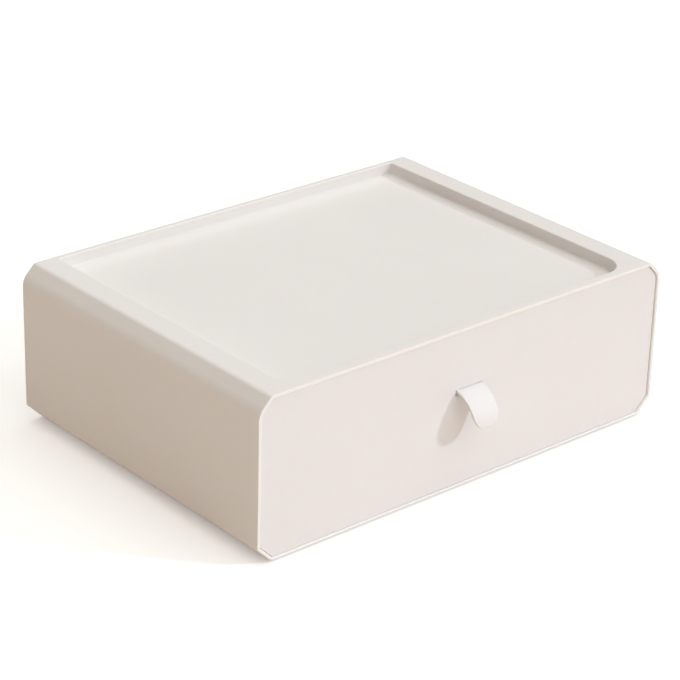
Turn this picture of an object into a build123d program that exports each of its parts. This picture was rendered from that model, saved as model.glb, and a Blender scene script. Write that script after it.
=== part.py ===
from build123d import *
import math
import os

# A desktop storage box: a chamfered casing, open at the front, that holds one full-width drawer.
# Sizes are in millimetres. +X is to the right as seen from the front, +Y is to the rear and +Z up.
# The origin is on the surface that the box stands on, under the middle of its whole footprint.

# Casing
casing_width = 320.0
casing_depth = 230.0
casing_height = 104.0
wall = 2.0
top_cut = 9.0
top_round = 4.0
side_round = 11.0
base_cut = 10.0
base_round = 3.0
rim_round = 0.4
sill_height = 1.0

# Tray sunk into the casing's top
tray_side_margin = 24.5
tray_front_margin = 6.3
tray_rear_margin = 4.0
tray_depth = 8.0
tray_front_round = 16.0
tray_rear_round = 2.5
tray_edge_round = 0.8
tray_floor_round = 1.2

# Rear panel, set in a step at the casing's rear end
panel_thickness = 2.2
panel_lip = 1.0
panel_fit = 0.15
panel_edge_round = 0.3
tongue_width = 14.0
tongue_length = 10.0
tongue_thickness = 1.2
tongue_spacing = 160.0
barb_length = 2.0
barb_height = 0.7

# Screws, all of one size but for their length
shank_radius = 1.2
head_radius = 2.5
head_height = 1.4
drive_length = 2.8
drive_width = 0.6
drive_depth = 0.7
thread_play = 0.02
boss_radius = 3.0
rear_boss_length = 14.0
rear_screw_length = 10.0
rear_screw_inset = 13.0
rear_screw_drop = 6.2

# Drawer front
front_gap = 0.3
front_set_back = 1.2
front_thickness = 2.5
front_edge_round = 0.4
front_box_depth = 6.0
front_box_wall = 1.8
front_screw_inset = 14.0
front_screw_margin = 16.0

# Drawer tub and its running clearances
tub_wall = 2.0
tub_lip = 1.5
tub_lip_height = 2.0
tub_corner_round = 3.0
side_play = 0.4
top_play = 0.5
corner_play = 1.2
slide_play = 0.3
closing_play = 0.3

# Runners and the stop that keeps the drawer in the casing
runner_height = 3.0
runner_width = 5.0
runner_spacing = 220.0
runner_end_margin = 8.0
drawer_travel = 160.0
stop_width = 40.0
stop_thickness = 2.5
catch_width = 60.0
catch_thickness = 2.0
stop_play = 0.3
stop_clear = 1.0

# Dividers
divider_thickness = 1.8
divider_fit = 0.2
divider_drop = 4.0
divider_corner_round = 3.0
guide_width = 2.0
guide_reach = 2.4
guide_drop = 8.0

# Pull tab and what clamps it behind the drawer front
tab_width = 20.6
tab_thickness = 1.6
tab_height = 63.4
tab_run = 0.4
tab_bend = 16.4
tab_hang = 3.6
tab_fold = 1.2
tab_tail = 16.5
slot_side = 0.5
slot_under = 2.7
slot_over = 0.3
clamp_height = 10.0
clamp_drop = 3.0
clamp_thickness = 2.4
clamp_end = 5.5
clamp_boss_radius = 2.5
clamp_boss_room = 2.0
clamp_skin = 1.0
clamp_edge_round = 0.5

# Feet and closing bumpers
foot_radius = 7.0
foot_proud = 1.5
foot_recess = 0.8
foot_fit = 0.2
foot_round = 0.4
foot_side_inset = 42.0
foot_end_inset = 25.0
bumper_radius = 4.0
bumper_height = 3.0
bumper_round = 0.6
bumper_spacing = 200.0

# An inset of one keeps a 45 degree cut parallel when its leg is shorter by this share
cut_share = 2 - math.sqrt(2)
# A round of one at a corner of such a cut takes up this length of each side
round_share = math.sqrt(2) - 1
least_round = 0.2
hair = 0.01

# Places worked out from the sizes above
tab_reach = tab_run + tab_bend + tab_thickness / 2 - front_set_back
front_y = -(casing_depth - tab_reach) / 2
rear_y = front_y + casing_depth
base_z = foot_proud
top_z = base_z + casing_height
floor_z = base_z + wall
tray_floor_z = top_z - tray_depth
tray_under_z = tray_floor_z - wall
panel_y = rear_y - panel_thickness
tongue_low_z = floor_z + panel_fit
barb_y = panel_y - tongue_length + barb_length / 2
runner_top_z = floor_z + runner_height
runner_length = panel_y - front_y - 2 * runner_end_margin
runner_y = (front_y + panel_y) / 2

front_face_y = front_y + front_set_back
front_back_y = front_face_y + front_thickness
tub_front_y = front_back_y + front_box_depth
sill_drop = wall - sill_height
sill_depth = front_set_back + front_thickness + front_gap
tub_rear_y = panel_y - bumper_height - closing_play
tub_length = tub_rear_y - tub_front_y
tub_width = casing_width - 2 * (wall + side_play + tub_lip)
tub_base_z = runner_top_z + slide_play
inner_top_cut = top_cut - cut_share * wall
inner_side_round = max(side_round - wall, least_round)
side_wall_top_z = top_z - wall - inner_top_cut - round_share * inner_side_round
tub_top_z = min(tray_under_z, side_wall_top_z) - top_play
tub_floor_z = tub_base_z + tub_wall
corner_room = side_play + tub_lip + tub_base_z - floor_z
inner_base_cut = base_cut - cut_share * wall
tub_cut = max(inner_base_cut + math.sqrt(2) * corner_play - corner_room, 2 * tub_wall)
tub_inner_width = tub_width - 2 * tub_wall
tub_inner_front_y = tub_front_y + tub_wall
tub_inner_rear_y = tub_rear_y - tub_wall
tub_inner_cut = tub_cut - cut_share * tub_wall

slot_z = base_z + tab_height
slot_width = tab_width + 2 * slot_side
slot_low_z = slot_z - tab_thickness / 2 - slot_under
slot_high_z = slot_z + tab_thickness / 2 + slot_over
tab_tip_z = slot_z - tab_bend - tab_hang
tab_fold_z = slot_z - tab_thickness / 2 - tab_fold
clamp_screw_spacing = tab_width + 2 * (clamp_boss_radius + clamp_boss_room)
clamp_width = clamp_screw_spacing + 2 * clamp_end
clamp_y = front_back_y + tab_thickness
clamp_z = slot_low_z - clamp_drop - clamp_height / 2

catch_front_y = tub_rear_y - catch_thickness
stop_rear_y = catch_front_y - drawer_travel - stop_play
divider_y = (tub_inner_front_y + tub_inner_rear_y) / 2
divider_top_z = tub_top_z - divider_drop
divider_height = divider_top_z - tub_floor_z
column_x = tub_inner_width / 6
guide_height = divider_height - guide_drop
guide_offset = divider_thickness / 2 + divider_fit + guide_width / 2
side_guide_x = tub_inner_width / 2 - guide_reach / 2
end_guides_y = (tub_inner_front_y + guide_reach / 2, tub_inner_rear_y - guide_reach / 2)
foot_x = casing_width / 2 - foot_side_inset
foot_front_y = front_y + foot_end_inset
foot_rear_y = rear_y - foot_end_inset
rear_screw_x = casing_width / 2 - rear_screw_inset
rear_screw_z = top_z - rear_screw_drop
front_screw_x = tub_width / 2 - front_screw_inset
front_screw_low_z = tub_base_z + front_screw_margin
front_screw_high_z = tub_top_z - front_screw_margin
middle_z = base_z + casing_height / 2


def upright(y):
    """The plane across the box at this depth: its x is to the right and its y is up."""
    return Plane.XZ.offset(-y)


def found_at(shapes, axis, place):
    """Those of the shapes that lie at this place along an axis, to within a hair."""
    return shapes.filter_by_position(axis, place - hair, place + hair)


def casing_section(inset, drop=0):
    """The casing's outline across the box, drawn in by an even inset, with its base dropped by this much."""
    width = casing_width - 2 * inset
    height = casing_height - 2 * inset + drop
    with BuildSketch() as section:
        with Locations((0, middle_z - drop / 2)):
            Rectangle(width, height)
        chamfer(section.vertices().group_by(Axis.Y)[-1], top_cut - cut_share * inset)
        chamfer(section.vertices().group_by(Axis.Y)[0], base_cut - cut_share * inset + drop)
        fillet(section.vertices().group_by(Axis.Y)[-2], max(side_round - inset, least_round))
        fillet(section.vertices().group_by(Axis.Y)[-1], max(top_round - inset, least_round))
        lower = section.vertices().filter_by_position(Axis.Y, base_z - 1, middle_z)
        fillet(lower, max(base_round - inset, least_round))
    return section.sketch


def tray_outline(grow):
    """The tray's outline from above, grown by an even margin."""
    width = casing_width - 2 * tray_side_margin + 2 * grow
    low_y = front_y + tray_front_margin - grow
    high_y = rear_y - tray_rear_margin + grow
    with BuildSketch() as outline:
        with Locations((0, (low_y + high_y) / 2)):
            Rectangle(width, high_y - low_y)
        fillet(outline.vertices().group_by(Axis.Y)[0], tray_front_round + grow)
        fillet(outline.vertices().group_by(Axis.Y)[-1], tray_rear_round + grow)
    return outline.sketch


def tub_section(inset, top):
    """The tub's outline across the box, drawn in by an even inset and open to this height."""
    width = tub_width - 2 * inset
    low = tub_base_z + inset
    with BuildSketch() as section:
        with Locations((0, (low + top) / 2)):
            Rectangle(width, top - low)
        chamfer(section.vertices().group_by(Axis.Y)[0], tub_cut - cut_share * inset)
    return section.sketch


def mirrored(x):
    """A left place and a right one, the same way from the middle."""
    return (-x, x)


rear_screw_places = [(x, rear_screw_z) for x in mirrored(rear_screw_x)]
front_screw_places = [
    (x, z) for x in mirrored(front_screw_x) for z in (front_screw_low_z, front_screw_high_z)
]
clamp_screw_places = [(x, clamp_z) for x in mirrored(clamp_screw_spacing / 2)]

# Casing shell: one moulding with the tray, the base, the runners and the rear screw bosses
with BuildPart() as casing_shell:
    with BuildSketch(upright(front_y)):
        add(casing_section(0))
    extrude(amount=-casing_depth)
    with BuildSketch(upright(front_y)):
        add(casing_section(wall))
    extrude(amount=-casing_depth, mode=Mode.SUBTRACT)
    with BuildSketch(upright(front_y)):
        add(casing_section(wall, sill_drop))
    extrude(amount=-sill_depth, mode=Mode.SUBTRACT)

    with BuildSketch(Plane.XY.offset(top_z)):
        add(tray_outline(wall))
    extrude(amount=-(tray_depth + wall))
    with BuildSketch(Plane.XY.offset(top_z)):
        add(tray_outline(0))
    extrude(amount=-tray_depth, mode=Mode.SUBTRACT)
    fillet(found_at(casing_shell.faces(), Axis.Z, tray_floor_z).edges(), tray_floor_round)
    top_face = found_at(casing_shell.faces(), Axis.Z, top_z).face()
    fillet(top_face.inner_wires().edges(), tray_edge_round)

    with BuildSketch(upright(panel_y)):
        add(casing_section(panel_lip))
    extrude(amount=-panel_thickness, mode=Mode.SUBTRACT)
    front_ring = casing_shell.faces().sort_by(Axis.Y)[0]
    fillet(front_ring.edges(), rim_round)
    rear_ring = casing_shell.faces().sort_by(Axis.Y)[-1]
    fillet(rear_ring.outer_wire().edges(), rim_round)

    with BuildSketch(Plane.XY.offset(floor_z)):
        with Locations(*[(x, runner_y) for x in mirrored(runner_spacing / 2)]):
            Rectangle(runner_width, runner_length)
    extrude(amount=runner_height)
    runner_tops = found_at(casing_shell.faces(), Axis.Z, runner_top_z)
    chamfer(runner_tops.edges().filter_by(Axis.X), runner_height / 2)

    with BuildSketch(Plane.XY.offset(floor_z)):
        with Locations((0, stop_rear_y - stop_thickness / 2)):
            Rectangle(stop_width, stop_thickness)
    extrude(amount=runner_height + slide_play - stop_clear)

    with BuildSketch(upright(panel_y)):
        with Locations(*rear_screw_places):
            Circle(boss_radius)
        for x in mirrored(rear_screw_x):
            with Locations((x, (rear_screw_z + top_z - wall) / 2)):
                Rectangle(boss_radius, top_z - wall - rear_screw_z)
    extrude(amount=rear_boss_length)
    with BuildSketch(upright(panel_y)):
        with Locations(*rear_screw_places):
            Circle(shank_radius + thread_play)
    extrude(amount=rear_screw_length, mode=Mode.SUBTRACT)

    with BuildSketch(Plane.XY.offset(floor_z)):
        with Locations(*[(x, barb_y) for x in mirrored(tongue_spacing / 2)]):
            Rectangle(tongue_width + 4 * panel_fit, barb_length + 4 * panel_fit)
    extrude(amount=-(barb_height + panel_fit), mode=Mode.SUBTRACT)

    with BuildSketch(Plane.XY.offset(base_z)):
        with Locations(*[(x, y) for x in mirrored(foot_x) for y in (foot_front_y, foot_rear_y)]):
            Circle(foot_radius + foot_fit)
    extrude(amount=foot_recess, mode=Mode.SUBTRACT)

# Rear panel: a plate in the casing's rear step, with two tongues that snap into the casing's floor
with BuildPart() as rear_panel:
    with BuildSketch(upright(panel_y)):
        add(casing_section(panel_lip + panel_fit))
    extrude(amount=-panel_thickness)
    outer_face = rear_panel.faces().sort_by(Axis.Y)[-1]
    fillet(outer_face.edges(), panel_edge_round)

    with BuildSketch(upright(panel_y)):
        with Locations(*[(x, tongue_low_z + tongue_thickness / 2) for x in mirrored(tongue_spacing / 2)]):
            Rectangle(tongue_width, tongue_thickness)
    extrude(amount=tongue_length)
    with BuildSketch(Plane.XY.offset(tongue_low_z)):
        with Locations(*[(x, barb_y) for x in mirrored(tongue_spacing / 2)]):
            Rectangle(tongue_width, barb_length)
    extrude(amount=-barb_height)

    with BuildSketch(upright(rear_y)):
        with Locations(*rear_screw_places):
            Circle(shank_radius + panel_fit)
    extrude(amount=panel_thickness, mode=Mode.SUBTRACT)
    with BuildSketch(upright(rear_y)):
        with Locations(*rear_screw_places):
            Circle(head_radius + panel_fit)
    extrude(amount=head_height, mode=Mode.SUBTRACT)


def screws(places, seat_y, length):
    """Screws that point to the front, with a cross drive: their heads' undersides lie at seat_y."""
    head_top_y = seat_y + head_height
    with BuildPart() as group:
        with BuildSketch(upright(seat_y)):
            with Locations(*places):
                Circle(shank_radius)
        extrude(amount=length)
        with BuildSketch(upright(head_top_y)):
            with Locations(*places):
                Circle(head_radius)
        extrude(amount=head_height)
        crowns = found_at(group.faces(), Axis.Y, head_top_y)
        fillet(crowns.edges(), head_height / 2)
        with BuildSketch(upright(head_top_y)):
            with Locations(*places):
                Rectangle(drive_length, drive_width)
                Rectangle(drive_width, drive_length)
        extrude(amount=drive_depth, mode=Mode.SUBTRACT)
    return group


rear_panel_screws = screws(rear_screw_places, rear_y - head_height, rear_screw_length)


def foot(x, y):
    """One anti-slip pad in its recess under the casing."""
    with BuildPart() as pad:
        with BuildSketch(Plane.XY):
            with Locations((x, y)):
                Circle(foot_radius)
        extrude(amount=foot_proud + foot_recess)
        fillet(pad.edges().filter_by(GeomType.CIRCLE).group_by(Axis.Z)[0], foot_round)
    return pad


feet = {
    "foot_front_left": foot(-foot_x, foot_front_y),
    "foot_front_right": foot(foot_x, foot_front_y),
    "foot_rear_left": foot(-foot_x, foot_rear_y),
    "foot_rear_right": foot(foot_x, foot_rear_y),
}


def closing_bumper(x):
    """One soft bumper on the inside of the rear panel, which the closed drawer meets."""
    with BuildPart() as bumper:
        with BuildSketch(upright(panel_y)):
            with Locations((x, middle_z)):
                Circle(bumper_radius)
        extrude(amount=bumper_height)
        fillet(bumper.edges().filter_by(GeomType.CIRCLE).group_by(Axis.Y)[0], bumper_round)
    return bumper


bumpers = {
    "rear_bumper_left": closing_bumper(-bumper_spacing / 2),
    "rear_bumper_right": closing_bumper(bumper_spacing / 2),
}

# Drawer tub: walls, floor, a lip round the rim, guides for the dividers and the catch for the stop
with BuildPart() as drawer_tub:
    with BuildSketch(upright(tub_front_y)):
        add(tub_section(0, tub_top_z))
    extrude(amount=-tub_length)
    rear_corners = drawer_tub.edges().filter_by(Axis.Z).group_by(Axis.Y)[-1]
    fillet(rear_corners, tub_corner_round)
    with BuildSketch(upright(tub_inner_front_y)):
        add(tub_section(tub_wall, tub_top_z + tub_wall))
    extrude(amount=-(tub_inner_rear_y - tub_inner_front_y), mode=Mode.SUBTRACT)

    with BuildSketch(Plane.XY.offset(tub_top_z)) as lip_ring:
        with Locations((0, tub_front_y + (tub_length + tub_lip) / 2)):
            Rectangle(tub_width + 2 * tub_lip, tub_length + tub_lip)
        fillet(lip_ring.vertices().group_by(Axis.Y)[-1], tub_corner_round + tub_lip)
        with Locations((0, (tub_inner_front_y + tub_inner_rear_y) / 2)):
            Rectangle(tub_inner_width, tub_inner_rear_y - tub_inner_front_y, mode=Mode.SUBTRACT)
    extrude(amount=-tub_lip_height)

    with BuildSketch(Plane.XY.offset(tub_floor_z + tub_inner_cut)):
        for y in mirrored(guide_offset):
            with Locations(*[(x, divider_y + y) for x in mirrored(side_guide_x)]):
                Rectangle(guide_reach, guide_width)
    extrude(amount=guide_height - tub_inner_cut)
    with BuildSketch(Plane.XY.offset(tub_floor_z)):
        for x in mirrored(guide_offset):
            with Locations(*[(column + x, y) for column in mirrored(column_x) for y in end_guides_y]):
                Rectangle(guide_width, guide_reach)
    extrude(amount=guide_height)

    with BuildSketch(Plane.XY.offset(tub_base_z)):
        with Locations((0, catch_front_y + catch_thickness / 2)):
            Rectangle(catch_width, catch_thickness)
    extrude(amount=-(runner_height + slide_play - stop_clear))

    with BuildSketch(upright(tub_front_y)):
        with Locations(*front_screw_places):
            Circle(shank_radius + panel_fit)
    extrude(amount=-tub_wall, mode=Mode.SUBTRACT)

# Front panel: the drawer's face, with a shallow box behind it that meets the tub
with BuildPart() as front_panel:
    with BuildSketch(upright(front_face_y)):
        add(casing_section(wall + front_gap, sill_drop))
    extrude(amount=-front_thickness)
    front_face = front_panel.faces().sort_by(Axis.Y)[0]
    fillet(front_face.edges(), front_edge_round)

    with BuildSketch(upright(front_back_y)):
        add(tub_section(0, tub_top_z))
        add(tub_section(front_box_wall, tub_top_z - front_box_wall), mode=Mode.SUBTRACT)
        with Locations(*front_screw_places):
            Circle(boss_radius)
    extrude(amount=-front_box_depth)
    with BuildSketch(upright(tub_front_y)):
        with Locations(*front_screw_places):
            Circle(shank_radius + thread_play)
    extrude(amount=front_box_depth, mode=Mode.SUBTRACT)

    with BuildSketch(upright(front_back_y)):
        with Locations(*clamp_screw_places):
            Circle(clamp_boss_radius)
    extrude(amount=-tab_thickness)
    with BuildSketch(upright(front_back_y + tab_thickness)):
        with Locations(*clamp_screw_places):
            Circle(shank_radius + thread_play)
    extrude(amount=tab_thickness + front_thickness - clamp_skin, mode=Mode.SUBTRACT)

    with BuildSketch(upright(front_face_y)):
        with Locations((0, (slot_low_z + slot_high_z) / 2)):
            Rectangle(slot_width, slot_high_z - slot_low_z)
    extrude(amount=-front_thickness, mode=Mode.SUBTRACT)

front_panel_screws = screws(front_screw_places, tub_inner_front_y, tub_wall + front_box_depth)

# Pull tab: a round-ended tongue that leaves the slot, bends down and hangs, with its root turned down inside
with BuildPart() as pull_tab:
    with BuildSketch(Plane.YZ.offset(-tab_width / 2)):
        with BuildLine():
            tail = Line((front_back_y, tab_fold_z - tab_tail), (front_back_y, tab_fold_z))
            root = JernArc(tail @ 1, tail % 1, tab_fold, 90)
            run = Line(root @ 1, (front_face_y - tab_run, (root @ 1).Y))
            bend = JernArc(run @ 1, run % 1, tab_bend - tab_thickness / 2, 90)
            Line(bend @ 1, (bend @ 1) - (0, tab_hang))
            offset(amount=tab_thickness, side=Side.RIGHT)
        make_face()
    extrude(amount=tab_width)
    with BuildSketch(upright(front_y)):
        with Locations((0, tab_tip_z + tab_width / 4)):
            Rectangle(2 * tab_width, tab_width / 2)
        with Locations((0, tab_tip_z + tab_width / 2)):
            Circle(tab_width / 2, mode=Mode.SUBTRACT)
    extrude(amount=casing_depth, mode=Mode.SUBTRACT)

# Tab clamp: the bar that presses the tab's root against the front panel
with BuildPart() as tab_clamp:
    with BuildSketch(upright(clamp_y)):
        with Locations((0, clamp_z)):
            RectangleRounded(clamp_width, clamp_height, clamp_height / 2 - clamp_edge_round)
    extrude(amount=-clamp_thickness)
    chamfer(tab_clamp.faces().sort_by(Axis.Y)[-1].edges(), clamp_edge_round)
    with BuildSketch(upright(clamp_y)):
        with Locations(*clamp_screw_places):
            Circle(shank_radius + panel_fit)
    extrude(amount=-clamp_thickness, mode=Mode.SUBTRACT)

clamp_screw_length = clamp_thickness + tab_thickness + front_thickness - clamp_skin
tab_clamp_screws = screws(clamp_screw_places, clamp_y + clamp_thickness, clamp_screw_length)

# Long divider: across the tub from side to side, with guides for the cross dividers on both faces
with BuildPart() as long_divider:
    with BuildSketch(upright(divider_y - divider_thickness / 2)):
        with Locations((0, (tub_floor_z + divider_top_z) / 2)):
            Rectangle(tub_inner_width - 2 * divider_fit, divider_height)
    extrude(amount=-divider_thickness)
    ends = long_divider.edges().filter_by(Axis.Y)
    chamfer(ends.group_by(Axis.Z)[0], tub_inner_cut + divider_fit)
    ends = long_divider.edges().filter_by(Axis.Y)
    fillet(ends.group_by(Axis.Z)[-1], divider_corner_round)
    with BuildSketch(Plane.XY.offset(tub_floor_z)):
        for x in mirrored(column_x):
            with Locations((x - guide_offset, divider_y), (x + guide_offset, divider_y)):
                Rectangle(guide_width, divider_thickness + 2 * guide_reach)
    extrude(amount=guide_height)


def cross_divider(x, low_y, high_y):
    """One divider from front to rear, between a wall of the tub and the long divider."""
    length = high_y - low_y - 2 * divider_fit
    with BuildPart() as divider:
        with BuildSketch(Plane.XY.offset(tub_floor_z)):
            with Locations((x, (low_y + high_y) / 2)):
                Rectangle(divider_thickness, length)
        extrude(amount=divider_height)
        fillet(divider.edges().filter_by(Axis.X).group_by(Axis.Z)[-1], divider_corner_round)
    return divider


long_front_y = divider_y - divider_thickness / 2
long_rear_y = divider_y + divider_thickness / 2
cross_dividers = {
    "cross_divider_front_left": cross_divider(-column_x, tub_inner_front_y, long_front_y),
    "cross_divider_front_right": cross_divider(column_x, tub_inner_front_y, long_front_y),
    "cross_divider_rear_left": cross_divider(-column_x, long_rear_y, tub_inner_rear_y),
    "cross_divider_rear_right": cross_divider(column_x, long_rear_y, tub_inner_rear_y),
}

pieces = {
    "casing_shell": casing_shell,
    "rear_panel": rear_panel,
    "rear_panel_screws": rear_panel_screws,
    **feet,
    **bumpers,
    "front_panel": front_panel,
    "drawer_tub": drawer_tub,
    "front_panel_screws": front_panel_screws,
    "pull_tab": pull_tab,
    "tab_clamp": tab_clamp,
    "tab_clamp_screws": tab_clamp_screws,
    "long_divider": long_divider,
    **cross_dividers,
}
os.makedirs("parts", exist_ok=True)
for name, piece in pieces.items():
    piece.part.label = name
    export_step(piece.part, f"parts/{name}.step")
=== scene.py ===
import bpy
import math
from mathutils import Matrix, Vector


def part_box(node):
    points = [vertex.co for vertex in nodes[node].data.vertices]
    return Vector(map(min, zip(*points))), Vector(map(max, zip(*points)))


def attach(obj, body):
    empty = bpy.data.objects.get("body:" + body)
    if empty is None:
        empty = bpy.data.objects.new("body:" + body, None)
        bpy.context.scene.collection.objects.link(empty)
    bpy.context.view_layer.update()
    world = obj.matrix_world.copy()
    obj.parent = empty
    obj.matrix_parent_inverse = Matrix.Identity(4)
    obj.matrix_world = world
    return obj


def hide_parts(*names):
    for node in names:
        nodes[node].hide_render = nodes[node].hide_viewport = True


# A desktop storage box with one drawer and a soft pull tab.
# Lengths are in metres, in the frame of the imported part: +X right, -Y front, +Z up.
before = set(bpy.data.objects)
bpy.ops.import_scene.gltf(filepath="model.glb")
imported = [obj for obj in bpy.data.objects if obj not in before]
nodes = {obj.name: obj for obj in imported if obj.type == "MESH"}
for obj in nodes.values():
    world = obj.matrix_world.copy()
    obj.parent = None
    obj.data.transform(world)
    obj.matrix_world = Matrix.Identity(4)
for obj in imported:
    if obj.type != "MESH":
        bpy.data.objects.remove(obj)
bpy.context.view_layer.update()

# Camera, as fitted to the photograph's straight edges
CAMERA_PLACE = (-0.9199, -1.0423, 0.7092)
CAMERA_AZIMUTH = math.radians(-41.14)
CAMERA_ELEVATION = math.radians(25.14)
CAMERA_ROLL = math.radians(1.586)
CAMERA_LENS = 131.2
CAMERA_SHIFT = (-0.0007, -0.0017)

# Colours of the finishes
CASING_COLOUR = (0.846, 0.825, 0.802)
# The casing's front rim is lighter as a painted highlight. The step inside it is lighter as painted light
# against its shade, and so are the drawer front's edges.
RIM_HIGHLIGHT_COLOUR = (0.920, 0.908, 0.898)
STEP_PAINTED_LIGHT_COLOUR = (0.980, 0.965, 0.950)
# The drawer front is of the casing's plastic; its different tint is painted light, for how the light falls
# on the front
FRONT_PAINTED_TINT_COLOUR = (0.838, 0.828, 0.835)
TUB_COLOUR = (0.850, 0.840, 0.815)
DIVIDER_COLOUR = (0.865, 0.860, 0.845)
TAB_COLOUR = (0.872, 0.869, 0.868)
TAB_EDGE_COLOUR = (0.780, 0.760, 0.735)
RUBBER_COLOUR = (0.520, 0.505, 0.485)
ZINC_COLOUR = (0.640, 0.640, 0.630)

# Shades of a finish, as shares of its colour: the darkest and the lightest patches, then edges or creases
PLASTIC_SHADES = (0.97, 1.02)
# The plastics' lighter edges: partly wear, partly painted highlight
CASING_EDGE_WEAR_AND_HIGHLIGHT = 1.06
FRONT_EDGE_WEAR_AND_HIGHLIGHT = 1.10
INNER_EDGE_WEAR_AND_HIGHLIGHT = 1.07
LEATHER_SHADES = (0.985, 1.01)
# The leather's darker creases: painted shade
LEATHER_CREASE_PAINTED_SHADE = 0.97
RUBBER_SHADES = (0.88, 1.10)
RUBBER_EDGE_SHADE = 1.25
ZINC_SHADES = (0.85, 1.10)
ZINC_EDGE_SHADE = 1.30

# Lowest and highest roughness of each finish
CASING_ROUGH = (0.52, 0.66)
FRONT_ROUGH = (0.40, 0.54)
TUB_ROUGH = (0.32, 0.46)
DIVIDER_ROUGH = (0.28, 0.42)
LEATHER_ROUGH = (0.47, 0.60)
LEATHER_EDGE_ROUGH = (0.65, 0.78)
RUBBER_ROUGH = (0.75, 0.95)
ZINC_ROUGH = (0.28, 0.48)

# Soft shine of the leather where it is seen at a flat angle
LEATHER_SHEEN = 0.08

# Grain of a surface: grains per metre, and how deep they are
PLASTIC_GRAIN = 2600.0
RUBBER_GRAIN = 1800.0
ZINC_GRAIN = 900.0
OUTER_GRAIN_DEPTH = 0.00002
INNER_GRAIN_DEPTH = 0.00001
LEATHER_GRAIN_DEPTH = 0.00002
RUBBER_GRAIN_DEPTH = 0.00004
ZINC_GRAIN_DEPTH = 0.00001

# The fine grain, and the coarser one under it, whose scale and height are shares of the fine one's
FINE_DETAIL = 2.0
COARSE_SCALE = 0.4
COARSE_DETAIL = 1.0
COARSE_HEIGHT = 0.5

# Slow drifts of tone per metre
DRIFT_SCALE = 9.0
DRIFT_DETAIL = 2.0

# Lighter edges, partly wear and on the plastics partly painted highlight: how far in from an edge they
# reach, how strong they are, and the patches that they come in
PLASTIC_EDGE_REACH = 0.0012
RUBBER_EDGE_REACH = 0.0006
ZINC_EDGE_REACH = 0.0003
EDGE_SAMPLES = 6
EDGE_STRENGTH = 4.0
EDGE_WEAR_AND_HIGHLIGHT_SCALE = 60.0
EDGE_WEAR_AND_HIGHLIGHT_DETAIL = 3.0
LEAST_EDGE_WEAR_AND_HIGHLIGHT = 0.35

# Leather grain: cells per metre, and how far from its border a cell is level
HIDE_CELLS = 1500.0
CREASE_REACH = 0.25

# Light that goes a little way into plastic: its share on outer and inner pieces, how far it reaches in red,
# green and blue, and how deep
OUTER_GLOW = 0.25
INNER_GLOW = 0.12
GLOW_RADIUS = (1.0, 0.62, 0.4)
GLOW_DEPTH = 0.002

# How far back from its front end the casing's rim and step get their painted light
FRONT_PAINTED_LIGHT_DEPTH = 0.0045

# A face's direction along Y: below the first it is part of the front rim, above the second it is one of the
# drawer front's edges
RIM_FACING = -0.9
EDGE_FACING = -0.7

# A face of the step looks at the box's middle: its direction times its distance from there is below this
INWARD_FACING = -0.001

# Sockets of a Mix node that works on colours
MIX_AMOUNT, MIX_LOW, MIX_HIGH, MIX_RESULT = 0, 6, 7, 2

# Pull tab: its clamped tail stands behind the panel, folds over into the slot and droops in front of it, and
# its free end is turned a little. The lead is how far inside the slot the droop begins.
TAB_WIDTH = 0.0206
TAB_THICKNESS = 0.0016
TAB_REACH = 0.0168
TAB_LEAD = 0.0010
TAB_DROP = 0.0198
TAB_HANG = 0.0002
TAB_TAIL = 0.0165
TAB_UNDER = 0.0012
TAB_ROOT_TWIST = math.radians(-0.6)
TAB_END_TWIST = math.radians(-3.8)
TAB_EDGE_ROUND = 0.00025
TAB_EDGE_STEPS = 3
TAB_END_STEPS = 24
TAB_STEPS = 48
PATH_STEPS = 32

# The tab's round end is cut a hair smaller than half its width, so that its two corners don't meet
END_ROUND_SHARE = 0.998
MERGE_REACH = 0.00001

# Handles of the tab's path: a quarter circle's, as a share of its radius, and the share of the tab's reach
# that counts as the radius where the droop begins
QUARTER_HANDLE = 0.5523
OUTWARD_SHARE = 0.74

# Length of a handle where the path runs straight, which keeps its heading
LEAST_HANDLE = 0.0003

# Angles from which the tab's edges are rounded, and up to which its faces are shaded as one
ROUNDED_ANGLE = math.radians(50)
SMOOTH_ANGLE = math.radians(35)


def deselect_all():
    """Leaves nothing selected in object mode."""
    for item in bpy.context.selected_objects:
        item.select_set(False)


def apply_modifiers(item):
    """Applies all of an object's modifiers, in order."""
    deselect_all()
    item.select_set(True)
    bpy.context.view_layer.objects.active = item
    for modifier in list(item.modifiers):
        bpy.ops.object.modifier_apply(modifier=modifier.name)


# Node groups, each built once and shared by the finishes


class Group:
    """A shader node group under construction, with its inputs and outputs by name."""

    def __init__(self, name, inputs, outputs):
        self.tree = bpy.data.node_groups.new(name, "ShaderNodeTree")
        sockets = self.tree.interface
        for label, value in inputs.items():
            socket = sockets.new_socket(label, in_out="INPUT", socket_type="NodeSocketFloat")
            socket.default_value = value
        for label in outputs:
            sockets.new_socket(label, in_out="OUTPUT", socket_type="NodeSocketFloat")
        self.start = self.tree.nodes.new("NodeGroupInput")
        self.end = self.tree.nodes.new("NodeGroupOutput")

    def link(self, source, target):
        """Joins two sockets inside the group."""
        self.tree.links.new(source, target)


def add_node(tree, kind, **settings):
    """A new node with its settings."""
    node = tree.nodes.new(kind)
    for key, value in settings.items():
        setattr(node, key, value)
    return node


def math_node(tree, operation, first, second):
    """A math node on two sockets or numbers, and its result."""
    node = add_node(tree, "ShaderNodeMath", operation=operation)
    for place, value in enumerate((first, second)):
        if isinstance(value, (int, float)):
            node.inputs[place].default_value = value
        else:
            tree.links.new(value, node.inputs[place])
    return node.outputs[0]


def noise_node(tree, where, scale, detail):
    """A noise texture read at a place, and its value."""
    node = add_node(tree, "ShaderNodeTexNoise")
    tree.links.new(where, node.inputs["Vector"])
    if isinstance(scale, float):
        node.inputs["Scale"].default_value = scale
    else:
        tree.links.new(scale, node.inputs["Scale"])
    node.inputs["Detail"].default_value = detail
    return node.outputs["Fac"]


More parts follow.
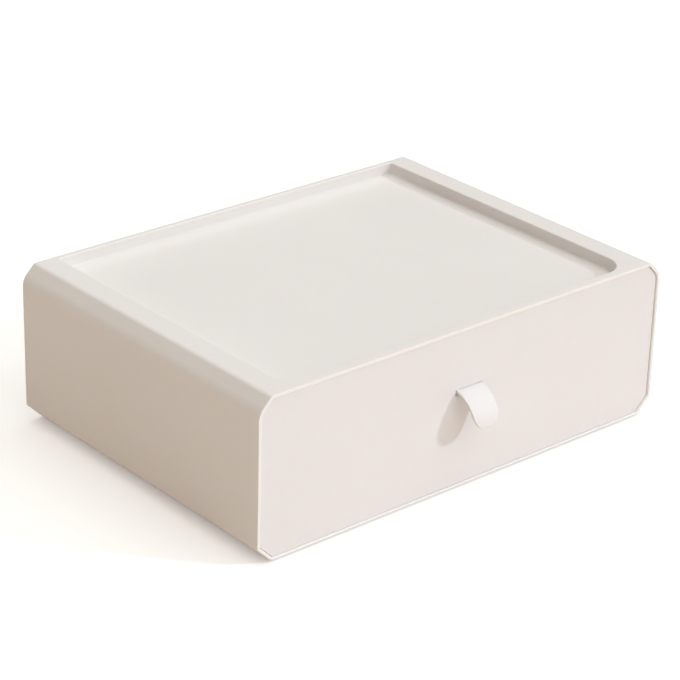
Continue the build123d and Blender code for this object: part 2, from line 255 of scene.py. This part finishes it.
def make_moulded_grain():
    """Moulded plastic: a fine spark-eroded grain, and slow drifts of tone from the flow of the melt."""
    group = Group("moulded_grain", {"Grain per metre": PLASTIC_GRAIN}, ("Height", "Drift"))
    tree = group.tree
    place = add_node(tree, "ShaderNodeTexCoord").outputs["Object"]
    fine = noise_node(tree, place, group.start.outputs["Grain per metre"], FINE_DETAIL)
    coarse_scale = math_node(tree, "MULTIPLY", group.start.outputs["Grain per metre"], COARSE_SCALE)
    coarse = noise_node(tree, place, coarse_scale, COARSE_DETAIL)
    height = math_node(tree, "ADD", math_node(tree, "MULTIPLY", coarse, COARSE_HEIGHT), fine)
    group.link(height, group.end.inputs["Height"])
    group.link(noise_node(tree, place, DRIFT_SCALE, DRIFT_DETAIL), group.end.inputs["Drift"])
    return tree


def make_edge_wear_and_highlight_mask():
    """Where the surface turns sharply: corners made lighter, partly as wear from hands and shelves and
    partly as painted highlight.
    """
    group = Group("edge_wear_and_highlight_mask", {"Reach": PLASTIC_EDGE_REACH}, ("Mask",))
    tree = group.tree
    rounded = add_node(tree, "ShaderNodeBevel", samples=EDGE_SAMPLES)
    group.link(group.start.outputs["Reach"], rounded.inputs["Radius"])
    flat = add_node(tree, "ShaderNodeNewGeometry").outputs["Normal"]
    dot = add_node(tree, "ShaderNodeVectorMath", operation="DOT_PRODUCT")
    group.link(rounded.outputs["Normal"], dot.inputs[0])
    group.link(flat, dot.inputs[1])
    turned = math_node(tree, "SUBTRACT", 1.0, dot.outputs["Value"])
    strong = math_node(tree, "MULTIPLY", turned, EDGE_STRENGTH)
    place = add_node(tree, "ShaderNodeTexCoord").outputs["Object"]
    patchy = math_node(tree, "ADD", noise_node(tree, place, EDGE_WEAR_AND_HIGHLIGHT_SCALE, EDGE_WEAR_AND_HIGHLIGHT_DETAIL), LEAST_EDGE_WEAR_AND_HIGHLIGHT)
    clear = add_node(tree, "ShaderNodeClamp")
    group.link(math_node(tree, "MULTIPLY", strong, patchy), clear.inputs["Value"])
    group.link(clear.outputs["Result"], group.end.inputs["Mask"])
    return tree


def make_hide_grain():
    """Coated leather: small rounded cells with shallow creases between them, and a mask of the creases for
    their painted shade.
    """
    group = Group("hide_grain", {"Cells per metre": HIDE_CELLS}, ("Height", "Crease"))
    tree = group.tree
    place = add_node(tree, "ShaderNodeTexCoord").outputs["Object"]
    cells = add_node(tree, "ShaderNodeTexVoronoi", feature="DISTANCE_TO_EDGE")
    group.link(place, cells.inputs["Vector"])
    group.link(group.start.outputs["Cells per metre"], cells.inputs["Scale"])
    soft = add_node(tree, "ShaderNodeMapRange")
    group.link(cells.outputs["Distance"], soft.inputs["Value"])
    soft.inputs["From Max"].default_value = CREASE_REACH
    group.link(soft.outputs["Result"], group.end.inputs["Height"])
    group.link(math_node(tree, "SUBTRACT", 1.0, soft.outputs["Result"]), group.end.inputs["Crease"])
    return tree


def make_front_painted_light_mask():
    """Where light is painted near the front: the casing's front rim and the drawer front's edges as painted
    highlight, and the step inside the rim as painted light against its shade.
    """
    low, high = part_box("casing_shell")
    places = {"Step end": low.y + FRONT_PAINTED_LIGHT_DEPTH, "Middle height": (low.z + high.z) / 2}
    group = Group("front_painted_light_mask", places, ("Rim", "Step", "Edge"))
    tree = group.tree
    place = add_node(tree, "ShaderNodeSeparateXYZ")
    group.link(add_node(tree, "ShaderNodeTexCoord").outputs["Object"], place.inputs[0])
    facing = add_node(tree, "ShaderNodeSeparateXYZ")
    group.link(add_node(tree, "ShaderNodeNewGeometry").outputs["Normal"], facing.inputs[0])
    near = math_node(tree, "LESS_THAN", place.outputs["Y"], group.start.outputs["Step end"])
    forward = math_node(tree, "LESS_THAN", facing.outputs["Y"], RIM_FACING)
    rise = math_node(tree, "SUBTRACT", place.outputs["Z"], group.start.outputs["Middle height"])
    sideways = math_node(tree, "MULTIPLY", facing.outputs["X"], place.outputs["X"])
    upwards = math_node(tree, "MULTIPLY", facing.outputs["Z"], rise)
    outwards = math_node(tree, "ADD", sideways, upwards)
    inward = math_node(tree, "LESS_THAN", outwards, INWARD_FACING)
    edge = math_node(tree, "GREATER_THAN", facing.outputs["Y"], EDGE_FACING)
    group.link(math_node(tree, "MULTIPLY", near, forward), group.end.inputs["Rim"])
    group.link(math_node(tree, "MULTIPLY", near, inward), group.end.inputs["Step"])
    group.link(edge, group.end.inputs["Edge"])
    return tree


MOULDED_GRAIN = make_moulded_grain()
EDGE_WEAR_AND_HIGHLIGHT_MASK = make_edge_wear_and_highlight_mask()
HIDE_GRAIN = make_hide_grain()
FRONT_PAINTED_LIGHT_MASKS = make_front_painted_light_mask()


class Finish:
    """A material under construction, around one Principled shader."""

    def __init__(self, name):
        self.material = bpy.data.materials.new(name)
        self.material.use_nodes = True
        self.tree = self.material.node_tree
        self.shader = self.tree.nodes["Principled BSDF"]

    def group(self, tree, **inputs):
        """One of the shared node groups, with its inputs set."""
        node = self.tree.nodes.new("ShaderNodeGroup")
        node.node_tree = tree
        for label, value in inputs.items():
            node.inputs[label.replace("_", " ")].default_value = value
        return node

    def set(self, **values):
        """Constants on the shader's own sockets."""
        for label, value in values.items():
            self.shader.inputs[label.replace("_", " ")].default_value = value

    def blend(self, amount, low, high):
        """Goes from one colour to another by a mask; returns the colour socket."""
        mix = add_node(self.tree, "ShaderNodeMix", data_type="RGBA")
        self.tree.links.new(amount, mix.inputs[MIX_AMOUNT])
        for place, colour in ((MIX_LOW, low), (MIX_HIGH, high)):
            if isinstance(colour, tuple):
                mix.inputs[place].default_value = (*colour, 1.0)
            else:
                self.tree.links.new(colour, mix.inputs[place])
        return mix.outputs[MIX_RESULT]

    def colour(self, socket):
        """Gives the surface its colour."""
        self.tree.links.new(socket, self.shader.inputs["Base Color"])

    def roughness(self, mask, rough):
        """Spreads the roughness between its lowest and highest value by a mask."""
        spread = add_node(self.tree, "ShaderNodeMapRange")
        self.tree.links.new(mask, spread.inputs["Value"])
        spread.inputs["To Min"].default_value, spread.inputs["To Max"].default_value = rough
        self.tree.links.new(spread.outputs["Result"], self.shader.inputs["Roughness"])

    def bump(self, height, depth):
        """Raises the surface by a height map, to a depth in metres."""
        bump = add_node(self.tree, "ShaderNodeBump")
        bump.inputs["Strength"].default_value = 1.0
        bump.inputs["Distance"].default_value = depth
        self.tree.links.new(height, bump.inputs["Height"])
        self.tree.links.new(bump.outputs["Normal"], self.shader.inputs["Normal"])


def shaded(colour, *shades):
    """The colour in each of these shades, and never above white."""
    return [tuple(min(channel * shade, 1.0) for channel in colour) for shade in shades]


def moulded_plastic(name, colour, rough, grain_depth, glow, edge_wear_and_highlight_share, painted_lights=()):
    """Opaque moulded plastic with a fine grain, a slight drift of tone, lighter edges that are partly wear
    and partly painted highlight, and painted light on the faces that masks pick.
    """
    finish = Finish(name)
    grain = finish.group(MOULDED_GRAIN)
    edges = finish.group(EDGE_WEAR_AND_HIGHLIGHT_MASK)
    drifted = finish.blend(grain.outputs["Drift"], *shaded(colour, *PLASTIC_SHADES))
    colour_with_wear_and_light = finish.blend(edges.outputs["Mask"], drifted, *shaded(colour, edge_wear_and_highlight_share))
    # Painted light: a lighter colour on the faces that each mask picks
    for mask, paint in painted_lights:
        colour_with_wear_and_light = finish.blend(finish.group(FRONT_PAINTED_LIGHT_MASKS).outputs[mask], colour_with_wear_and_light, paint)
    finish.colour(colour_with_wear_and_light)
    finish.roughness(grain.outputs["Height"], rough)
    finish.bump(grain.outputs["Height"], grain_depth)
    finish.set(Subsurface_Weight=glow, Subsurface_Radius=GLOW_RADIUS, Subsurface_Scale=GLOW_DEPTH)
    return finish.material


def coated_leather(name, colour, rough):
    """Smooth coated leather with a barely raised grain, its creases darkened as painted shade."""
    finish = Finish(name)
    hide = finish.group(HIDE_GRAIN)
    grain = finish.group(MOULDED_GRAIN)
    drifted = finish.blend(grain.outputs["Drift"], *shaded(colour, *LEATHER_SHADES))
    finish.colour(finish.blend(hide.outputs["Crease"], drifted, *shaded(colour, LEATHER_CREASE_PAINTED_SHADE)))
    finish.roughness(grain.outputs["Height"], rough)
    finish.bump(hide.outputs["Height"], LEATHER_GRAIN_DEPTH)
    finish.set(Sheen_Weight=LEATHER_SHEEN)
    return finish.material


def soft_rubber(name, colour):
    """Matte rubber with a fine, dusty grain."""
    finish = Finish(name)
    grain = finish.group(MOULDED_GRAIN, Grain_per_metre=RUBBER_GRAIN)
    edges = finish.group(EDGE_WEAR_AND_HIGHLIGHT_MASK, Reach=RUBBER_EDGE_REACH)
    dusty = finish.blend(grain.outputs["Height"], *shaded(colour, *RUBBER_SHADES))
    finish.colour(finish.blend(edges.outputs["Mask"], dusty, *shaded(colour, RUBBER_EDGE_SHADE)))
    finish.roughness(grain.outputs["Height"], RUBBER_ROUGH)
    finish.bump(grain.outputs["Height"], RUBBER_GRAIN_DEPTH)
    return finish.material


def plated_steel(name, colour):
    """Zinc-plated steel with a cloudy surface."""
    finish = Finish(name)
    grain = finish.group(MOULDED_GRAIN, Grain_per_metre=ZINC_GRAIN)
    edges = finish.group(EDGE_WEAR_AND_HIGHLIGHT_MASK, Reach=ZINC_EDGE_REACH)
    cloudy = finish.blend(grain.outputs["Height"], *shaded(colour, *ZINC_SHADES))
    finish.colour(finish.blend(edges.outputs["Mask"], cloudy, *shaded(colour, ZINC_EDGE_SHADE)))
    finish.roughness(grain.outputs["Height"], ZINC_ROUGH)
    finish.bump(grain.outputs["Height"], ZINC_GRAIN_DEPTH)
    finish.set(Metallic=1.0)
    return finish.material


# The casing's front rim carries a painted highlight, and the step inside it painted light against its shade
CASING = moulded_plastic(
    "casing_plastic", CASING_COLOUR, CASING_ROUGH, OUTER_GRAIN_DEPTH, OUTER_GLOW, CASING_EDGE_WEAR_AND_HIGHLIGHT,
    painted_lights=(("Rim", RIM_HIGHLIGHT_COLOUR), ("Step", STEP_PAINTED_LIGHT_COLOUR)),
)
# The drawer front's edges in the casing's step carry a painted highlight
FRONT = moulded_plastic(
    "front_plastic", FRONT_PAINTED_TINT_COLOUR, FRONT_ROUGH, OUTER_GRAIN_DEPTH, OUTER_GLOW, FRONT_EDGE_WEAR_AND_HIGHLIGHT,
    painted_lights=(("Edge", STEP_PAINTED_LIGHT_COLOUR),),
)
TUB = moulded_plastic(
    "tub_plastic", TUB_COLOUR, TUB_ROUGH, INNER_GRAIN_DEPTH, INNER_GLOW, INNER_EDGE_WEAR_AND_HIGHLIGHT,
)
DIVIDER = moulded_plastic(
    "divider_plastic", DIVIDER_COLOUR, DIVIDER_ROUGH, INNER_GRAIN_DEPTH, INNER_GLOW, INNER_EDGE_WEAR_AND_HIGHLIGHT,
)
LEATHER = coated_leather("tab_leather", TAB_COLOUR, LEATHER_ROUGH)
LEATHER_EDGE = coated_leather("tab_cut_edge", TAB_EDGE_COLOUR, LEATHER_EDGE_ROUGH)
RUBBER = soft_rubber("pad_rubber", RUBBER_COLOUR)
ZINC = plated_steel("zinc_plating", ZINC_COLOUR)

NODE_FINISHES = {
    "casing_shell": CASING,
    "rear_panel": CASING,
    "front_panel": FRONT,
    "drawer_tub": TUB,
    "tab_clamp": TUB,
    "long_divider": DIVIDER,
    "cross_divider_front_left": DIVIDER,
    "cross_divider_front_right": DIVIDER,
    "cross_divider_rear_left": DIVIDER,
    "cross_divider_rear_right": DIVIDER,
    "rear_panel_screws": ZINC,
    "front_panel_screws": ZINC,
    "tab_clamp_screws": ZINC,
    "foot_front_left": RUBBER,
    "foot_front_right": RUBBER,
    "foot_rear_left": RUBBER,
    "foot_rear_right": RUBBER,
    "rear_bumper_left": RUBBER,
    "rear_bumper_right": RUBBER,
}


def dress_nodes():
    """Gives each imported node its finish."""
    for name, finish in NODE_FINISHES.items():
        slots = nodes[name].data.materials
        slots.clear()
        slots.append(finish)


def tab_path(face_y, back_y, slot_z):
    """The pull tab's middle line, from its clamped root, over the slot's lower edge and down in front."""
    half = TAB_THICKNESS / 2
    fold = half + TAB_UNDER
    fold_top = slot_z - fold
    hang_y = face_y - TAB_REACH
    hang_z = slot_z - TAB_DROP
    reach = TAB_REACH + TAB_LEAD
    # Each stop: its Y and Z, its heading, the radii of the bends before and after it, and its twist
    stops = (
        ((back_y + half, fold_top - TAB_TAIL), (0, 1), 0, 0, 0),
        ((back_y + half, fold_top), (0, 1), 0, fold, 0),
        ((back_y - TAB_UNDER, slot_z), (-1, 0), fold, 0, TAB_ROOT_TWIST),
        ((face_y + TAB_LEAD, slot_z), (-1, 0), 0, reach * OUTWARD_SHARE, TAB_ROOT_TWIST),
        ((hang_y, hang_z), (0, -1), TAB_DROP, 0, TAB_END_TWIST),
        ((hang_y, hang_z - TAB_HANG), (0, -1), 0, 0, TAB_END_TWIST),
    )
    curve = bpy.data.curves.new("tab_path", "CURVE")
    curve.dimensions = "3D"
    curve.resolution_u = PATH_STEPS
    curve.twist_mode = "MINIMUM"
    spline = curve.splines.new("BEZIER")
    spline.bezier_points.add(len(stops) - 1)
    for point, (place, heading, before, after, twist) in zip(spline.bezier_points, stops):
        middle = Vector((0, *place))
        along = Vector((0, *heading))
        point.co = middle
        point.handle_left_type = point.handle_right_type = "FREE"
        point.handle_left = middle - along * max(before * QUARTER_HANDLE, LEAST_HANDLE)
        point.handle_right = middle + along * max(after * QUARTER_HANDLE, LEAST_HANDLE)
        point.tilt = twist
    path = bpy.data.objects.new("tab_path", curve)
    bpy.context.scene.collection.objects.link(path)
    return path


def flat_tongue(length):
    """A flat strip along +X with a round far end, cut across into steps so that it can bend."""
    deselect_all()
    bpy.ops.mesh.primitive_plane_add(size=1, location=(length / 2, 0, 0))
    tongue = bpy.context.active_object
    tongue.scale = (length, TAB_WIDTH, 1)
    bpy.ops.object.transform_apply(location=True, rotation=True, scale=True)
    bpy.ops.object.mode_set(mode="EDIT")
    bpy.ops.mesh.select_mode(type="VERT")
    bpy.ops.mesh.select_all(action="DESELECT")
    bpy.ops.object.mode_set(mode="OBJECT")
    for corner in tongue.data.vertices:
        corner.select = corner.co.x > length / 2
    bpy.ops.object.mode_set(mode="EDIT")
    end_round = TAB_WIDTH / 2 * END_ROUND_SHARE
    bpy.ops.mesh.bevel(offset=end_round, segments=TAB_END_STEPS, affect="VERTICES")
    for step in range(1, TAB_STEPS):
        bpy.ops.mesh.select_all(action="SELECT")
        bpy.ops.mesh.bisect(plane_co=(length * step / TAB_STEPS, 0, 0), plane_no=(1, 0, 0))
    bpy.ops.mesh.select_all(action="SELECT")
    bpy.ops.mesh.remove_doubles(threshold=MERGE_REACH)
    bpy.ops.object.mode_set(mode="OBJECT")
    return tongue


def make_pull_tab():
    """A round-ended tongue of coated leather, cut flat, then bent along its path."""
    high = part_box("pull_tab")[1]
    face_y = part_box("front_panel")[0].y
    path = tab_path(face_y, high.y - TAB_THICKNESS, high.z - TAB_THICKNESS / 2)
    tab = flat_tongue(path.data.splines[0].calc_length())
    tab.name = tab.data.name = "leather_pull_tab"
    tab.data.materials.append(LEATHER)
    tab.data.materials.append(LEATHER_EDGE)
    thick = tab.modifiers.new("thickness", "SOLIDIFY")
    thick.thickness = TAB_THICKNESS
    thick.offset = 0.0
    thick.material_offset_rim = 1
    edge = tab.modifiers.new("edge", "BEVEL")
    edge.width = TAB_EDGE_ROUND
    edge.segments = TAB_EDGE_STEPS
    edge.limit_method = "ANGLE"
    edge.angle_limit = ROUNDED_ANGLE
    follow = tab.modifiers.new("path", "CURVE")
    follow.object = path
    follow.deform_axis = "POS_X"
    apply_modifiers(tab)
    bpy.ops.object.shade_smooth_by_angle(angle=SMOOTH_ANGLE)
    bpy.data.objects.remove(path)
    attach(tab, "drawer")
    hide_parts("pull_tab")


# Stage, camera and lights

WHITE = (1.0, 1.0, 1.0, 1.0)

# Floor: half its width, its colour to the camera and as it lights the box, and its own light to the camera
FLOOR_REACH = 6.0
FLOOR_COLOUR = (0.900, 0.900, 0.895)
FLOOR_GLOW = (0.900, 0.800, 0.690)
FLOOR_LIFT = 0.30
FLOOR_ROUGHNESS = 0.9

# The world's even light on the object
WORLD_COLOUR = (1.0, 0.78, 0.64)
WORLD_STRENGTH = 0.18

# Each lamp: where it shines from, its colour, its strength and the width of the sky that it fills
LAMPS = {
    "key": ((0.88, -1.0, 0.78), (0.82, 0.90, 1.0), 0.905, 4.0),
    "front_softbox": ((0.15, -1.0, 0.55), (0.98, 0.96, 0.98), 0.77, 70.0),
    "top_softbox": ((0.1, 0.0, 1.0), (0.965, 1.0, 0.975), 1.69, 90.0),
    "left_bounce": ((-1.0, -0.1, 0.1), (1.0, 0.45, 0.25), 0.16, 100.0),
    "right_fill": ((1.0, 0.4, 0.3), (0.88, 0.94, 1.0), 0.13, 100.0),
}


def add_floor():
    """A plain pale floor, shown near white to the camera, that keeps the box's shadow."""
    deselect_all()
    bpy.ops.mesh.primitive_plane_add(size=2 * FLOOR_REACH, location=(0, 0, 0))
    floor = bpy.context.active_object
    floor.name = "floor"
    finish = Finish("pale_floor")
    finish.set(Roughness=FLOOR_ROUGHNESS, Specular_IOR_Level=0.0, Emission_Color=WHITE)
    tree = finish.tree
    rays = add_node(tree, "ShaderNodeLightPath")
    seen = math_node(tree, "MAXIMUM", rays.outputs["Is Camera Ray"], rays.outputs["Is Glossy Ray"])
    seen = math_node(tree, "MAXIMUM", seen, rays.outputs["Is Transmission Ray"])
    lift = math_node(tree, "MULTIPLY", seen, FLOOR_LIFT)
    finish.colour(finish.blend(seen, FLOOR_GLOW, FLOOR_COLOUR))
    tree.links.new(lift, finish.shader.inputs["Emission Strength"])
    floor.data.materials.append(finish.material)


def add_world():
    """Even light from all round, white where the camera sees it or looks through a clear piece."""
    world = bpy.data.worlds.new("studio")
    bpy.context.scene.world = world
    world.use_nodes = True
    tree = world.node_tree
    ambient = tree.nodes["Background"]
    ambient.inputs["Color"].default_value = (*WORLD_COLOUR, 1.0)
    ambient.inputs["Strength"].default_value = WORLD_STRENGTH
    white = add_node(tree, "ShaderNodeBackground")
    white.inputs["Color"].default_value = WHITE
    rays = add_node(tree, "ShaderNodeLightPath")
    seen = math_node(tree, "MAXIMUM", rays.outputs["Is Camera Ray"], rays.outputs["Is Transmission Ray"])
    choose = add_node(tree, "ShaderNodeMixShader")
    for place, source in enumerate((seen, ambient.outputs[0], white.outputs[0])):
        tree.links.new(source, choose.inputs[place])
    tree.links.new(choose.outputs[0], tree.nodes["World Output"].inputs["Surface"])


def add_lamps():
    """One small key for the shadows, and wide soft lamps round it."""
    for name, (source, colour, strength, spread) in LAMPS.items():
        lamp = bpy.data.objects.new(name, bpy.data.lights.new(name, "SUN"))
        bpy.context.scene.collection.objects.link(lamp)
        lamp.data.energy = strength
        lamp.data.color = colour
        lamp.data.angle = math.radians(spread)
        lamp.matrix_world = Vector(source).to_track_quat("Z", "Y").to_matrix().to_4x4()


def add_camera():
    """The photograph's own view."""
    camera = bpy.data.objects.new("camera", bpy.data.cameras.new("camera"))
    bpy.context.scene.collection.objects.link(camera)
    camera.data.lens = CAMERA_LENS
    camera.data.shift_x, camera.data.shift_y = CAMERA_SHIFT
    turn = Matrix.Rotation(CAMERA_AZIMUTH, 4, "Z")
    tip = Matrix.Rotation(math.pi / 2 - CAMERA_ELEVATION, 4, "X")
    roll = Matrix.Rotation(CAMERA_ROLL, 4, "Z")
    camera.matrix_world = Matrix.Translation(CAMERA_PLACE) @ turn @ tip @ roll
    bpy.context.scene.camera = camera


dress_nodes()
make_pull_tab()
add_floor()
add_world()
add_lamps()
add_camera()
bpy.context.scene.view_settings.view_transform = "Standard"
